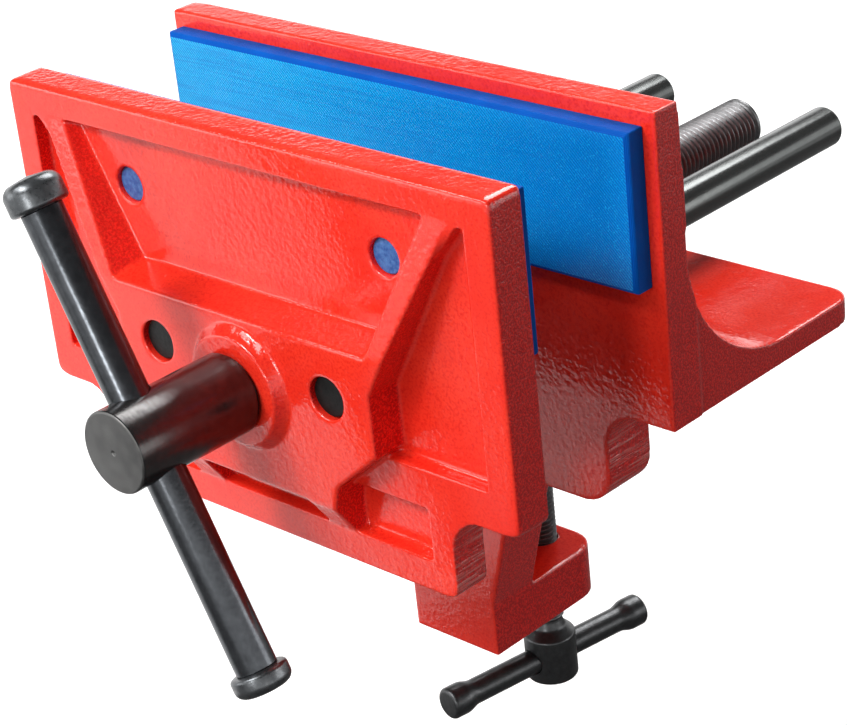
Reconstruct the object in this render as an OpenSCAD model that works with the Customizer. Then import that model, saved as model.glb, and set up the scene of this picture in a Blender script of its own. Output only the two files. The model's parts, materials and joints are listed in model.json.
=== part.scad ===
// Clamp-on woodworking vise for a table edge.
// Millimetres, +Z up, +Y toward the back of the table, +X along the jaws.
// The origin is on the seat under the shelf, straight above the clamp screw.

/* [Jaws] */
// Width of both jaws
jaw_w = 175; // [168:1:190]
// Height of the jaw tops above the table seat
jaw_h = 87; // [84:1:100]
// Thickness of the front jaw from its rim to its back face
front_t = 11.3; // [10.5:0.1:14]
// Thickness of the rear jaw at its top edge
rear_t = 9.1; // [8:0.1:10]
// Opening between the two pads
opening = 36.6; // [20:0.1:56]
// Width of the narrower tongue under each jaw
tongue_w = 129; // [124:1:134]
// Height of the front jaw below the level of the table seat, without its tongue
front_drop = 2.5; // [2:0.1:4]
// Height of the tongue under the front jaw
front_tongue_h = 24.5; // [23:0.5:30]
// Height of the tongue under the rear jaw
rear_tongue_h = 29.2; // [26:0.2:34]
// Width of the raised rim round the front jaw
rim_w = 9; // [8:0.1:10]
// Depth of the cast recesses behind the rim
recess_d = 4.2; // [3.5:0.1:4.6]
// Height of the middle block above the rim
block_rise = 6.4; // [5:0.1:8]

/* [Pads] */
// Width of each jaw pad
pad_w = 167; // [160:1:171]
// Height of each jaw pad
pad_h = 43; // [38:1:44]
// Thickness of each jaw pad
pad_t = 6.2; // [5:0.1:9]
// Distance of the pads below the jaw tops
pad_drop = 4.2; // [3:0.1:5]
// Diameter of the two studs on the back of each pad
stud_d = 9.8; // [8:0.1:11]
// Distance between the two studs of a pad
stud_spacing = 94; // [88:1:96]

/* [Shelf and clamp arm] */
// Depth of the casting from the rear jaw's face to the back of the shelf
shelf_d = 81.4; // [78:0.1:95]
// Thickness of the shelf
shelf_t = 7.2; // [6:0.1:8]
// Radius of the hollow corner between jaw and shelf
hollow_r = 40; // [36:0.5:42]
// Distance from the rear jaw's face to the clamp screw
reach = 39.7; // [38:0.1:48]
// Clear height between the table seat and the arm
throat = 77.3; // [74:0.1:90]
// Width of the clamp arm
arm_w = 32; // [30:0.5:38]
// Height of the clamp arm
arm_h = 16; // [14:0.5:20]
// Length of the arm past the clamp screw
arm_past = 8.6; // [8:0.1:14]

/* [Guide rods and lead screw] */
// Diameter of the guide rods
rod_d = 12.5; // [11:0.1:13]
// Distance between the guide rods
rod_spacing = 63.5; // [60:0.5:68]
// Height of the guide rods above the table seat
rod_z = 23.6; // [22:0.1:25]
// Length of the guide rods
rod_l = 212; // [180:1:240]
// Outside diameter of the lead screw's thread
screw_d = 16; // [14:0.5:16.5]
// Height of the lead screw above the table seat
screw_z = 18.8; // [18.6:0.1:20]
// Length of the lead screw behind its head
screw_l = 218; // [190:1:245]
// Diameter of the lead screw's head
head_d = 22.5; // [20.5:0.5:26]
// Length of the lead screw's head
head_l = 38.9; // [34:0.1:50]
// Diameter of the sliding handle bar
handle_d = 11.2; // [9:0.1:12]
// Length of the handle bar between its caps
handle_l = 127; // [100:1:150]
// Lean of the handle from upright, in degrees
handle_lean = 26.6; // [0:0.1:80]

/* [Table clamp] */
// Outside diameter of the clamp screw's thread
clamp_d = 10; // [9:0.5:11]
// Gap between the table seat and the clamp foot
table_gap = 18; // [10:1:36]
// Diameter of the clamp foot
foot_d = 24; // [20:0.5:28]
// Diameter of the clamp screw's hub
hub_d = 16; // [14:0.5:20]
// Diameter of the clamp screw's T-bar
tbar_d = 7.8; // [6:0.1:8.4]
// Length of the T-bar between its ends
tbar_l = 56; // [44:1:70]
// Turn of the T-bar from the front-to-back direction, in degrees
tbar_turn = 9.8; // [0:0.1:80]

/* [Hidden] */
$fn = 64;
// running clearance, measured on the radius
run_gap = 0.1;
// press clearance, measured on the radius
press_gap = 0.02;
// clearance between flat faces that slide on each other
face_gap = 0.1;
// overlap that joins two shapes of one casting
join = 1;
// extra length of every cutting shape
past = 1;

// Places along Y
rear_face_y = -reach;
front_back_y = rear_face_y - 2 * pad_t - opening;
rim_y = front_back_y - front_t;
floor_y = rim_y + recess_d;
block_y = rim_y - block_rise;
boss_rise = 3.3;
boss_y = block_y - boss_rise;
washer_t = 1.2;
washer_in = 1;
washer_d = head_d - 2 * washer_in;
head_rear_y = boss_y - washer_t - face_gap;
head_front_y = head_rear_y - head_l;
handle_share = 0.29;
handle_y = head_front_y + handle_share * head_l;
rod_recess = 1.6;
rod_front_y = block_y + rod_recess;
rod_end_less = 1.2;
rod_end_d = rod_d - rod_end_less;

// Rear jaw and shelf
rear_taper = 1.7;
rear_low_t = rear_t + rear_taper;
hollow_top_z = 36.5;
hollow_z = shelf_t + hollow_r;
hollow_y = rear_low_t + sqrt(pow(hollow_r, 2) - pow(hollow_z - hollow_top_z, 2));
shelf_corner = 7.5;
seam_behind_face = 11.7;
seam_y = rear_face_y + seam_behind_face;
seam_step = 0.5;
tongue_fillet = 11;
rear_tongue_d = 17.5;
rear_tongue_corner = 10;
tongue_back_corner = 5;
post_top_half = 31;
post_in = 0.3;
post_low_half = arm_w / 2 - post_in;
post_set_back = 0.6;
post_y = rear_face_y + post_set_back;
arm_corner = 9;
arm_top_z = -throat;
arm_low_z = -throat - arm_h;

// Front jaw relief
plate_corner = 2;
front_low_z = -front_drop;
front_top_down = 1.1;
front_top_z = jaw_h - front_top_down;
front_tongue_corner = 3;
recess_top_z = jaw_h - rim_w;
recess_side = 21.5;
recess_top_half = jaw_w / 2 - recess_side;
recess_slope = 2.2;
recess_top_slope = 1.6;
ledge_up = 19.6;
ledge_z = screw_z + ledge_up;
ledge_fall = 2.6;
rib_side = 12.5;
rib_top_half = jaw_w / 2 - rib_side;
waist_up = 9;
waist_z = screw_z + waist_up;
block_past_rod = 15.3;
block_half = rod_spacing / 2 + block_past_rod;
block_side_down = 8;
block_side_z = screw_z - block_side_down;
block_corner_down = 20.9;
block_corner_z = screw_z - block_corner_down;
block_down = 27.6;
block_low_z = screw_z - block_down;
foot_in = 20;
foot_w = 10;
foot_out = foot_in + foot_w;
block_corner_past = 1.5;
block_corner_half = foot_out + block_corner_past;
low_rim_h = 10.7;
side_pocket_low_z = front_low_z + low_rim_h;
side_pocket_apex = 2;
side_pocket_top_down = 1;
side_pocket_top_z = recess_top_z - side_pocket_top_down;
pocket_under_block = 10;
tongue_pocket_down = 0.8;
tongue_pocket_top_z = front_low_z - tongue_pocket_down;
tongue_rim_h = 9.2;
tongue_pocket_low_z = front_low_z - front_tongue_h + tongue_rim_h;
tongue_rim_side = 7.5;
tongue_pocket_out = tongue_w / 2 - tongue_rim_side;
slot_under_block = 3;
boss_lip = 0.5;
carry = 1.4;
boss_d = 30.8;
boss_base_d = 37;

// Pads
pad_top_z = jaw_h - pad_drop;
pad_low_z = pad_top_z - pad_h;
pad_bevel_in = 1.2;
pad_bevel_deep = 0.8;
stud_down = 25.7;
stud_z = jaw_h - stud_down;
stud_short = 1.4;
front_stud_l = front_t - recess_d - stud_short;
rear_stud_l = rear_t - stud_short;
stud_hole_d = stud_d + 2 * run_gap;

// Lead screw pieces
collar_d = 26;
collar_l = 7;
collar_y = front_back_y + face_gap;
collar_pin_d = 4;
nut_d = 26;
nut_l = 16;
screw_room = 1;
nut_key_d = 5;
nut_key_l = 8;
nut_key_sunk = 0.2;
rod_pin_d = 4;
rod_pin_l = 28;
rod_pin_behind_rim = 1.5;
rod_pin_y = rim_y + rod_pin_behind_rim;
rod_pin_past = 2;
rod_pin_z = rod_z + rod_d / 2 + rod_pin_past - rod_pin_l;
screw_chamfer = 0.6;
screw_pitch = 2;
screw_groove = 1.15;
screw_plain = 1;
clamp_pitch = 1.5;
clamp_groove = 0.9;
crest_share = 0.15;
head_chamfer = 0.8;
centre_mark_d = 2;
centre_mark_deep = 0.8;
centre_mark_tip_d = 0.2;

// Handle, with the distance that the bar has slid down in its hole, and its caps
handle_slid = 1.5;
cap_proud = 2.25;
cap_d = handle_d + 2 * cap_proud;
cap_round = 2;
upper_cap_l = 8.8;
lower_cap_l = 6.5;
spigot_d = 7;
spigot_l = 4;

// Clamp screw pieces
foot_h = 9;
foot_rim_h = 4;
foot_taper = 4;
foot_top_z = -table_gap;
foot_low_z = foot_top_z - foot_h;
tip_d = 7;
tip_l = 6;
ring_t = 1.2;
ring_groove_d = 5.4;
ring_slack = 0.4;
ring_inner_d = ring_groove_d + 2 * ring_slack;
ring_d = 11;
ring_up = 1.2;
shoulder_z = foot_low_z - face_gap;
neck_down = 12.2;
neck_z = arm_low_z - neck_down;
neck_l = 5;
hub_top_z = neck_z - neck_l;
hub_l = 14.9;
hub_low_z = hub_top_z - hub_l;
tbar_down = 7.8;
tbar_z = hub_top_z - tbar_down;
tbar_slid = 2.2;
tbar_proud = 1.1;
tbar_end_d = tbar_d + 2 * tbar_proud;
tbar_end_l = 10;
tbar_neck_l = 5;
tbar_spigot_d = 4.5;
tbar_spigot_l = 5;

red = [0.80, 0.12, 0.08];
blue = [0.05, 0.32, 0.75];
black = [0.13, 0.13, 0.14];
steel = [0.55, 0.55, 0.56];
bronze = [0.65, 0.48, 0.25];

// Shapes drawn in front, side and top view

module front_view(y, depth) {
    translate([0, y + depth, 0])
        rotate([90, 0, 0])
            linear_extrude(height = depth)
                children();
}

module side_view(width) {
    rotate([90, 0, 90])
        linear_extrude(height = width, center = true)
            children();
}

module top_view(z, height) {
    translate([0, 0, z])
        linear_extrude(height = height)
            children();
}

module along_y(x, y, z, length, diameter) {
    translate([x, y, z])
        rotate([-90, 0, 0])
            cylinder(d = diameter, h = length);
}

module along_y_cone(y, z, length, d_start, d_end) {
    translate([0, y, z])
        rotate([-90, 0, 0])
            cylinder(d1 = d_start, d2 = d_end, h = length);
}

module rounded_box_outline(half, low, high, corner) {
    translate([-half + corner, low])
        square([2 * (half - corner), high - low]);
    translate([-half, low + corner])
        square([2 * half, high - low - 2 * corner]);
    for (x = [-half + corner, half - corner])
        for (z = [low + corner, high - corner])
            translate([x, z])
                circle(r = corner);
}

// Tongue seen from the front, with hollow corners under the wider jaw
module tongue_outline(top, height, corner) {
    half = tongue_w / 2;
    low = top - height;
    difference() {
        union() {
            translate([-half + corner, low])
                square([tongue_w - 2 * corner, height + join]);
            translate([-half, low + corner])
                square([tongue_w, height - corner + join]);
            for (side = [-1, 1])
                translate([side * (half - corner), low + corner])
                    circle(r = corner);
            translate([-half - tongue_fillet, top - tongue_fillet])
                square([tongue_w + 2 * tongue_fillet, tongue_fillet + join]);
        }
        for (side = [-1, 1])
            translate([side * (half + tongue_fillet), top - tongue_fillet])
                circle(r = tongue_fillet);
    }
}

// Rear jaw, shelf and clamp arm, one casting

module rear_profile() {
    difference() {
        polygon([
            [0, 0],
            [0, jaw_h],
            [rear_t, jaw_h],
            [rear_low_t, hollow_top_z],
            [hollow_y, hollow_top_z],
            [hollow_y, shelf_t],
            [shelf_d, shelf_t],
            [shelf_d, 0]
        ]);
        translate([hollow_y, hollow_z])
            circle(r = hollow_r);
    }
}

// Shelf from above, a small step narrower than the jaw plate behind the mould seam
module shelf_outline() {
    half = jaw_w / 2 - seam_step;
    back = shelf_d - reach;
    translate([-jaw_w / 2, rear_face_y])
        square([jaw_w, seam_y - rear_face_y]);
    translate([-half, rear_face_y])
        square([2 * half, shelf_d - shelf_corner]);
    translate([-half + shelf_corner, rear_face_y])
        square([2 * (half - shelf_corner), shelf_d]);
    for (side = [-1, 1])
        translate([side * (half - shelf_corner), back - shelf_corner])
            circle(r = shelf_corner);
}

module jaw_and_shelf() {
    intersection() {
        translate([0, rear_face_y, 0])
            side_view(jaw_w)
                rear_profile();
        top_view(-past, jaw_h + 2 * past)
            shelf_outline();
    }
}

module rear_tongue_side() {
    low = -rear_tongue_h;
    square_d = rear_tongue_d - tongue_back_corner;
    translate([0, low])
        square([square_d, rear_tongue_h + join]);
    translate([0, low + tongue_back_corner])
        square([rear_tongue_d, rear_tongue_h - tongue_back_corner + join]);
    translate([square_d, low + tongue_back_corner])
        circle(r = tongue_back_corner);
}

module rear_tongue() {
    intersection() {
        front_view(rear_face_y, rear_tongue_d)
            tongue_outline(0, rear_tongue_h, rear_tongue_corner);
        translate([0, rear_face_y, 0])
            side_view(jaw_w)
                rear_tongue_side();
    }
}

module post() {
    top = -rear_tongue_h + tongue_back_corner + join;
    front_view(post_y, rear_tongue_d)
        polygon([
            [-post_low_half, arm_top_z - join],
            [-post_low_half, arm_top_z],
            [-post_top_half, top],
            [post_top_half, top],
            [post_low_half, arm_top_z],
            [post_low_half, arm_top_z - join]
        ]);
}

module arm() {
    half = arm_w / 2;
    arm_l = arm_past - post_y;
    top_view(arm_low_z, arm_h) {
        translate([-half, post_y])
            square([arm_w, arm_l - arm_corner]);
        translate([-half + arm_corner, post_y])
            square([arm_w - 2 * arm_corner, arm_l]);
        for (side = [-1, 1])
            translate([side * (half - arm_corner), arm_past - arm_corner])
                circle(r = arm_corner);
    }
}

module nut_key_place() {
    along_y(0, rear_face_y - past, screw_z + nut_d / 2, nut_key_l + past, nut_key_d + 2 * press_gap);
}

module rear_jaw() {
    bore_l = shelf_d + 2 * past;
    color(red)
        difference() {
            union() {
                jaw_and_shelf();
                rear_tongue();
                post();
                arm();
            }
            for (side = [-1, 1]) {
                along_y(side * rod_spacing / 2, rear_face_y - past, rod_z, bore_l, rod_d + 2 * run_gap);
                along_y(side * stud_spacing / 2, rear_face_y - past, stud_z, bore_l, stud_hole_d);
            }
            along_y(0, rear_face_y - past, screw_z, past + nut_l + face_gap, nut_d + 2 * press_gap);
            along_y(0, rear_face_y - past, screw_z, bore_l, screw_d + 2 * screw_room);
            nut_key_place();
            translate([0, 0, arm_low_z - past])
                cylinder(d = clamp_d + 2 * run_gap, h = arm_h + 2 * past);
        }
}

module lead_nut() {
    color(bronze)
        difference() {
            along_y(0, rear_face_y, screw_z, nut_l, nut_d);
            along_y(0, rear_face_y - past, screw_z, nut_l + 2 * past, screw_d + 2 * run_gap);
            nut_key_place();
        }
}

module nut_key() {
    color(steel)
        along_y(0, rear_face_y + nut_key_sunk, screw_z + nut_d / 2, nut_key_l - nut_key_sunk, nut_key_d);
}

// Pads with two studs each; the pad body lies in front of the plane Y = 0

module pad_body() {
    half = pad_w / 2;
    hull() {
        translate([-half, -pad_t + pad_bevel_deep, pad_low_z])
            cube([pad_w, pad_t - pad_bevel_deep, pad_h]);
        translate([-half + pad_bevel_in, -pad_t, pad_low_z + pad_bevel_in])
            cube([pad_w - 2 * pad_bevel_in, pad_t, pad_h - 2 * pad_bevel_in]);
    }
}

module pad(stud_length) {
    color(blue) {
        pad_body();
        for (side = [-1, 1])
            along_y(side * stud_spacing / 2, -join, stud_z, stud_length + join, stud_d);
    }
}

module rear_pad() {
    translate([0, rear_face_y, 0])
        pad(rear_stud_l);
}

module front_pad() {
    translate([0, front_back_y, 0])
        rotate([0, 0, 180])
            pad(front_stud_l);
}

// Front jaw casting

module front_plate() {
    front_view(rim_y, front_t)
        rounded_box_outline(jaw_w / 2, front_low_z, front_top_z, plate_corner);
    front_view(rim_y, front_t)
        tongue_outline(front_low_z, front_tongue_h, front_tongue_corner);
}

module side_pocket_outline() {
    out = jaw_w / 2 - rim_w;
    polygon([
        [out, side_pocket_top_z],
        [out - side_pocket_apex, side_pocket_top_z],
        [block_half - pocket_under_block, waist_z],
        [block_half - pocket_under_block, side_pocket_low_z],
        [out, side_pocket_low_z]
    ]);
}

module tongue_pocket_outline() {
    translate([foot_out, tongue_pocket_low_z])
        square([tongue_pocket_out - foot_out, tongue_pocket_top_z - tongue_pocket_low_z]);
}

module slot_outline() {
    translate([-foot_in, tongue_pocket_low_z])
        square([2 * foot_in, block_low_z - tongue_pocket_low_z + slot_under_block]);
}

module pockets() {
    front_view(rim_y - past, recess_d + past) {
        side_pocket_outline();
        mirror([1, 0])
            side_pocket_outline();
        tongue_pocket_outline();
        mirror([1, 0])
            tongue_pocket_outline();
        slot_outline();
    }
}

module shield_outline() {
    polygon([
        [-rib_top_half, recess_top_z + past],
        [rib_top_half, recess_top_z + past],
        [block_half, waist_z],
        [block_half, block_side_z],
        [block_corner_half, block_corner_z],
        [foot_out, block_low_z],
        [-foot_out, block_low_z],
        [-block_corner_half, block_corner_z],
        [-block_half, block_side_z],
        [-block_half, waist_z]
    ]);
}

module shield_profile() {
    polygon([
        [floor_y + join, recess_top_z],
        [rim_y, recess_top_z],
        [block_y, ledge_z],
        [block_y, block_low_z - past],
        [floor_y + join, block_low_z - past]
    ]);
}

// Ribs and middle block, rising from the rim's level at the top
module shield() {
    intersection() {
        side_view(jaw_w)
            shield_profile();
        front_view(block_y - past, block_rise + recess_d + 3 * past)
            shield_outline();
    }
}

// Two sloping feet that carry the block down to the tongue's rim
module block_feet() {
    for (side = [-1, 1])
        translate([side * (foot_in + foot_w / 2), 0, 0])
            side_view(foot_w)
                polygon([
                    [floor_y + join, block_low_z + join],
                    [block_y, block_low_z + join],
                    [block_y, block_low_z],
                    [rim_y, tongue_pocket_low_z],
                    [floor_y + join, tongue_pocket_low_z]
                ]);
}

module boss() {
    along_y_cone(boss_y + boss_lip, screw_z, boss_rise - boss_lip + join, boss_d, boss_base_d);
    along_y(0, boss_y, screw_z, boss_rise + join, boss_d);
}

// A corner of the upper recess, carried on past the front surface
function carried(floor_point, open_point) = floor_point + carry * (open_point - floor_point);

module upper_recess() {
    floor_top_half = recess_top_half - recess_slope;
    floor_low_half = block_half - recess_slope;
    floor_top = recess_top_z - recess_top_slope;
    floor_low = ledge_z + ledge_fall;
    floor_points = [
        [-floor_top_half, floor_y, floor_top],
        [floor_top_half, floor_y, floor_top],
        [floor_low_half, floor_y, floor_low],
        [-floor_low_half, floor_y, floor_low]
    ];
    open_points = [
        [-recess_top_half, rim_y, recess_top_z],
        [recess_top_half, rim_y, recess_top_z],
        [block_half, block_y, ledge_z],
        [-block_half, block_y, ledge_z]
    ];
    carried_points = [for (i = [0:3]) carried(floor_points[i], open_points[i])];
    polyhedron(
        points = concat(floor_points, carried_points),
        faces = [
            [3, 2, 1, 0],
            [4, 5, 6, 7],
            [1, 5, 4, 0],
            [2, 6, 5],
            [2, 5, 1],
            [3, 7, 6, 2],
            [0, 4, 7],
            [0, 7, 3]
        ]
    );
}

module rod_pin_place(side, diameter) {
    translate([side * rod_spacing / 2, rod_pin_y, rod_pin_z])
        cylinder(d = diameter, h = rod_pin_l);
}

module front_jaw() {
    bore_l = front_back_y - boss_y + 2 * past;
    color(red)
        difference() {
            union() {
                difference() {
                    front_plate();
                    pockets();
                }
                shield();
                block_feet();
                boss();
            }
            upper_recess();
            for (side = [-1, 1]) {
                along_y(side * rod_spacing / 2, boss_y - past, rod_z, bore_l, rod_end_d + 2 * press_gap);
                along_y(side * stud_spacing / 2, rim_y - past, stud_z, bore_l, stud_hole_d);
                rod_pin_place(side, rod_pin_d + 2 * press_gap);
            }
            along_y(0, boss_y - past, screw_z, bore_l, screw_d + 2 * run_gap);
        }
}

// Rod whose front end is turned down to a shoulder on the back of the jaw
module guide_rod(side) {
    x = side * rod_spacing / 2;
    color(black)
        difference() {
            union() {
                along_y(x, rod_front_y, rod_z, rod_l, rod_end_d);
                along_y(x, front_back_y, rod_z, rod_l - (front_back_y - rod_front_y), rod_d);
            }
            rod_pin_place(side, rod_pin_d + 2 * press_gap);
        }
}

module rod_left() {
    guide_rod(-1);
}

module rod_right() {
    guide_rod(1);
}

module rod_pins() {
    color(steel)
        for (side = [-1, 1])
            rod_pin_place(side, rod_pin_d);
}

// Lead screw with its head, washer and collar

module handle_axis() {
    translate([0, handle_y, screw_z])
        rotate([0, -handle_lean, 0])
            children();
}

// The bar and its caps lie a little lower on that axis
module handle_place() {
    handle_axis()
        translate([0, 0, -handle_slid])
            children();
}

module collar_pin_place(diameter) {
    translate([0, collar_y + collar_l / 2, screw_z - collar_d / 2])
        cylinder(d = diameter, h = collar_d);
}

// Ring ribs in the place of a thread's turns, from Z = 0 upward
module thread_ribs(turns, diameter, pitch, groove) {
    crest_r = diameter / 2;
    root_r = crest_r - groove;
    crest = crest_share * pitch;
    root_up = (pitch + crest) / 2;
    ribs = [
        for (i = [0:turns - 1])
            each [
                [crest_r, i * pitch],
                [crest_r, i * pitch + crest],
                [root_r, i * pitch + root_up]
            ]
    ];
    top = turns * pitch;
    rotate_extrude()
        polygon(concat([[0, 0]], ribs, [[crest_r, top], [0, top]]));
}

module lead_screw() {
    thread_end_y = head_rear_y + screw_l - screw_chamfer;
    thread_from_y = collar_y + collar_l + screw_plain;
    turns = floor((thread_end_y - thread_from_y) / screw_pitch);
    thread_y = thread_end_y - turns * screw_pitch;
    shank_l = thread_y - head_rear_y;
    thread_tip_d = screw_d - 2 * screw_chamfer;
    head_plain_l = head_l - 2 * head_chamfer;
    head_edge_d = head_d - 2 * head_chamfer;
    color(black)
        difference() {
            union() {
                along_y(0, head_rear_y - join, screw_z, shank_l + join, screw_d);
                translate([0, thread_y, screw_z])
                    rotate([-90, 0, 0])
                        thread_ribs(turns, screw_d, screw_pitch, screw_groove);
                along_y_cone(thread_end_y, screw_z, screw_chamfer, screw_d, thread_tip_d);
                along_y_cone(head_front_y, screw_z, head_chamfer, head_edge_d, head_d);
                along_y(0, head_front_y + head_chamfer, screw_z, head_plain_l, head_d);
                along_y_cone(head_rear_y - head_chamfer, screw_z, head_chamfer, head_d, head_edge_d);
            }
            handle_axis()
                cylinder(d = handle_d + 2 * run_gap, h = 2 * head_d, center = true);
            collar_pin_place(collar_pin_d + 2 * press_gap);
            along_y_cone(head_front_y, screw_z, centre_mark_deep, centre_mark_d, centre_mark_tip_d);
        }
}

module thrust_washer() {
    color(black)
        difference() {
            along_y(0, head_rear_y, screw_z, washer_t, washer_d);
            along_y(0, head_rear_y - past, screw_z, washer_t + 2 * past, screw_d + 2 * press_gap);
        }
}

module screw_collar() {
    color(black)
        difference() {
            along_y(0, collar_y, screw_z, collar_l, collar_d);
            along_y(0, collar_y - past, screw_z, collar_l + 2 * past, screw_d + 2 * press_gap);
            translate([0, 0, -past])
                collar_pin_place(collar_pin_d + 2 * press_gap);
            translate([0, 0, past])
                collar_pin_place(collar_pin_d + 2 * press_gap);
        }
}

module collar_pin() {
    color(steel)
        collar_pin_place(collar_pin_d);
}

// Sliding handle bar with a cap on each end

module handle_bar() {
    color(black)
        handle_place() {
            cylinder(d = handle_d, h = handle_l, center = true);
            for (side = [-1, 1])
                translate([0, 0, side * handle_l / 2])
                    cylinder(d = spigot_d, h = 2 * spigot_l, center = true);
        }
}

module cap(length) {
    difference() {
        union() {
            cylinder(d = cap_d, h = length - cap_round);
            translate([0, 0, length - cap_round])
                cylinder(d1 = cap_d, d2 = cap_d - 2 * cap_round, h = cap_round);
        }
        translate([0, 0, -past])
            cylinder(d = spigot_d + 2 * press_gap, h = spigot_l + past);
    }
}

module handle_cap_upper() {
    color(black)
        handle_place()
            translate([0, 0, handle_l / 2])
                cap(upper_cap_l);
}

module handle_cap_lower() {
    color(black)
        handle_place()
            translate([0, 0, -handle_l / 2])
                rotate([180, 0, 0])
                    cap(lower_cap_l);
}

// Clamp under the table: foot, snap ring, screw and T-bar

module clamp_foot() {
    bore_d = tip_d + 2 * run_gap;
    color(black)
        difference() {
            union() {
                translate([0, 0, foot_top_z - foot_rim_h])
                    cylinder(d = foot_d, h = foot_rim_h);
                translate([0, 0, foot_low_z])
                    cylinder(d1 = foot_d - 2 * foot_taper, d2 = foot_d, h = foot_h - foot_rim_h);
            }
            translate([0, 0, foot_low_z - past])
                cylinder(d = bore_d, h = tip_l + face_gap + past);
            translate([0, 0, foot_low_z + ring_up])
                cylinder(d = ring_d + 2 * press_gap, h = ring_t);
        }
}

module foot_ring() {
    color(steel)
        translate([0, 0, foot_low_z + ring_up])
            difference() {
                cylinder(d = ring_d, h = ring_t);
                translate([0, 0, -past])
                    cylinder(d = ring_inner_d, h = ring_t + 2 * past);
            }
}

module tbar_axis() {
    translate([0, 0, tbar_z])
        rotate([0, 0, -tbar_turn])
            rotate([-90, 0, 0])
                children();
}

// The T-bar and its ends lie a little nearer the front on that axis
module tbar_place() {
    tbar_axis()
        translate([0, 0, -tbar_slid])
            children();
}

module clamp_screw() {
    groove_h = ring_t + 2 * face_gap;
    turns = floor((shoulder_z - neck_z) / clamp_pitch);
    thread_z = shoulder_z - turns * clamp_pitch;
    color(black)
        difference() {
            union() {
                translate([0, 0, shoulder_z])
                    cylinder(d = tip_d, h = tip_l);
                translate([0, 0, thread_z])
                    thread_ribs(turns, clamp_d, clamp_pitch, clamp_groove);
                translate([0, 0, neck_z])
                    cylinder(d = clamp_d, h = thread_z - neck_z);
                translate([0, 0, hub_top_z])
                    cylinder(d1 = hub_d, d2 = clamp_d, h = neck_z - hub_top_z);
                translate([0, 0, hub_low_z])
                    cylinder(d = hub_d, h = hub_top_z - hub_low_z);
            }
            translate([0, 0, foot_low_z + ring_up - face_gap])
                difference() {
                    cylinder(d = tip_d + 2, h = groove_h);
                    translate([0, 0, -past])
                        cylinder(d = ring_groove_d, h = groove_h + 2 * past);
                }
            tbar_axis()
                cylinder(d = tbar_d + 2 * run_gap, h = 2 * hub_d, center = true);
        }
}

module tbar() {
    color(black)
        tbar_place() {
            cylinder(d = tbar_d, h = tbar_l, center = true);
            for (side = [-1, 1])
                translate([0, 0, side * tbar_l / 2])
                    cylinder(d = tbar_spigot_d, h = 2 * tbar_spigot_l, center = true);
        }
}

module tbar_end() {
    difference() {
        union() {
            cylinder(d1 = tbar_d, d2 = tbar_end_d, h = tbar_neck_l);
            translate([0, 0, tbar_neck_l])
                cylinder(d = tbar_end_d, h = tbar_end_l - tbar_neck_l);
        }
        translate([0, 0, -past])
            cylinder(d = tbar_spigot_d + 2 * press_gap, h = tbar_spigot_l + past);
    }
}

module tbar_end_back() {
    color(black)
        tbar_place()
            translate([0, 0, tbar_l / 2])
                tbar_end();
}

module tbar_end_front() {
    color(black)
        tbar_place()
            translate([0, 0, -tbar_l / 2])
                rotate([180, 0, 0])
                    tbar_end();
}

rear_jaw();
rear_pad();
lead_nut();
nut_key();
front_jaw();
front_pad();
rod_left();
rod_right();
rod_pins();
lead_screw();
thrust_washer();
screw_collar();
collar_pin();
handle_bar();
handle_cap_upper();
handle_cap_lower();
clamp_foot();
foot_ring();
clamp_screw();
tbar();
tbar_end_front();
tbar_end_back();
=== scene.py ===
import json
import math

import bmesh
import bpy
import numpy as np
from mathutils import Matrix, Vector


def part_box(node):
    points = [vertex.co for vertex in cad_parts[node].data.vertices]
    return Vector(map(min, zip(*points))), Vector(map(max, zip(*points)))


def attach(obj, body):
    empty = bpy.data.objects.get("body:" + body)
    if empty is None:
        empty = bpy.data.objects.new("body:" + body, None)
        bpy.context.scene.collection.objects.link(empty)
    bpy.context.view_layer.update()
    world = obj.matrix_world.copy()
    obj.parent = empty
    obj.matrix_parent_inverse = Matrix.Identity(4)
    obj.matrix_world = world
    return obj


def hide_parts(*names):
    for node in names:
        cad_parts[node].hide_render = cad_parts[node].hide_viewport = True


# Clamp-on woodworking vise. Shapes are worked out in millimetres and turned to metres when a piece is made.

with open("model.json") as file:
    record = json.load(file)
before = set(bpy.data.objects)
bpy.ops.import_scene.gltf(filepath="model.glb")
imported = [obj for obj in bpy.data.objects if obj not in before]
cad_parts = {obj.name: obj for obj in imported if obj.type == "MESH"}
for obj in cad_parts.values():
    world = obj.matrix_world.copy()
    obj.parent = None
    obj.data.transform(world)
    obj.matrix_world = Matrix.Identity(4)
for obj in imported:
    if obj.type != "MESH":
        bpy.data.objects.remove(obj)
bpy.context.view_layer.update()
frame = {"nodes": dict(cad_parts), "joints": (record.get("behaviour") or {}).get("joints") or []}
nodes = frame["nodes"]
joint_axis = {j["name"]: np.array(j["axis"], float) for j in frame["joints"]}

MM = 0.001
SEGMENTS = 96
TINY = 1e-6
JOIN_DISTANCE = 0.002
ALONG_Y = np.array([0.0, 1.0, 0.0])
ALONG_Z = np.array([0.0, 0.0, 1.0])


# Places read from the solids

def box_mm(node):
    low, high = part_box(node)
    return np.array(low) / MM, np.array(high) / MM


def centre_mm(node):
    low, high = box_mm(node)
    return (low + high) / 2


# Mesh helpers

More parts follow.
